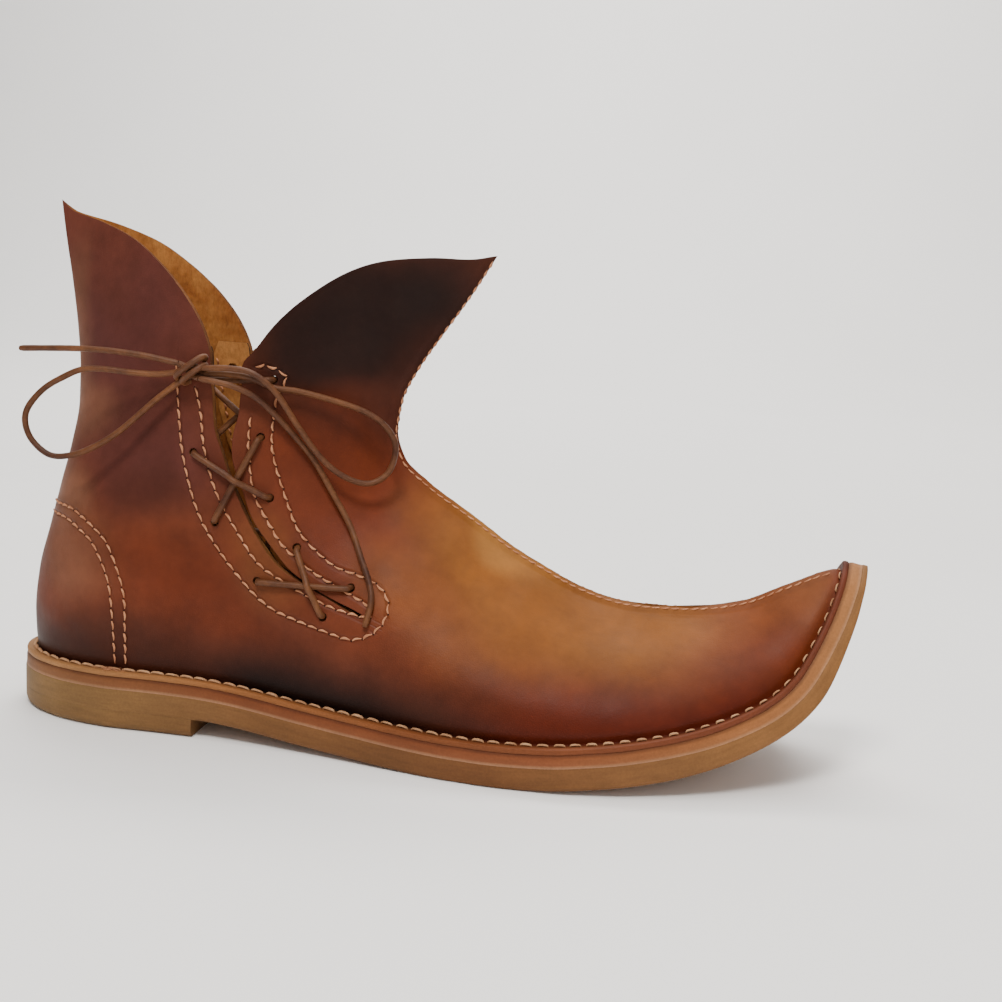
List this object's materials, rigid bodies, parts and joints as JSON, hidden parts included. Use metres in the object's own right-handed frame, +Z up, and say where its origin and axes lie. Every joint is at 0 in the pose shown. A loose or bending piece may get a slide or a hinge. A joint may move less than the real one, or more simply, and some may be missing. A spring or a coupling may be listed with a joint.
{
  "type": "pointed-toe laced ankle shoe",
  "caption": "Right leather ankle shoe with an upturned pointed toe, tall pointed fins front and back, side-laced slits with bows, and a layered sole with a low heel.",
  "frame": {"origin": "on the heel lift's ground face, on the centre line, about 42 mm ahead of the back of the shoe", "axes": "+X along the sole towards the toe, +Y towards the inner (medial) side of this right shoe, +Z up from the ground"},
  "size_m": [0.3011, 0.1032, 0.1821],
  "materials": {
    "upper_leather": "worn, softly polished red-brown leather",
    "facing_leather": "red-brown leather, suede on its inner face",
    "sole_leather": "undyed tan sole leather, matt",
    "midsole_leather": "reddish tan edge, matt",
    "inner_suede": "golden suede, matt",
    "lace_leather": "round rolled leather cord, satin"
  },
  "bodies": {
    "root": {"facing_lateral": "facing_leather", "facing_medial": "facing_leather", "heel_lift": "sole_leather", "insole": "inner_suede", "lace_end_front_lateral": "lace_leather", "lace_end_front_medial": "lace_leather", "lace_end_rear_lateral": "lace_leather", "lace_end_rear_medial": "lace_leather", "lace_knot_lateral": "lace_leather", "lace_knot_medial": "lace_leather", "lace_lateral": "lace_leather", "lace_loop_front_lateral": "lace_leather", "lace_loop_front_medial": "lace_leather", "lace_loop_rear_lateral": "lace_leather", "lace_loop_rear_medial": "lace_leather", "lace_medial": "lace_leather", "midsole": "midsole_leather", "outsole": "sole_leather", "upper": "upper_leather"}
  },
  "joints": []
}
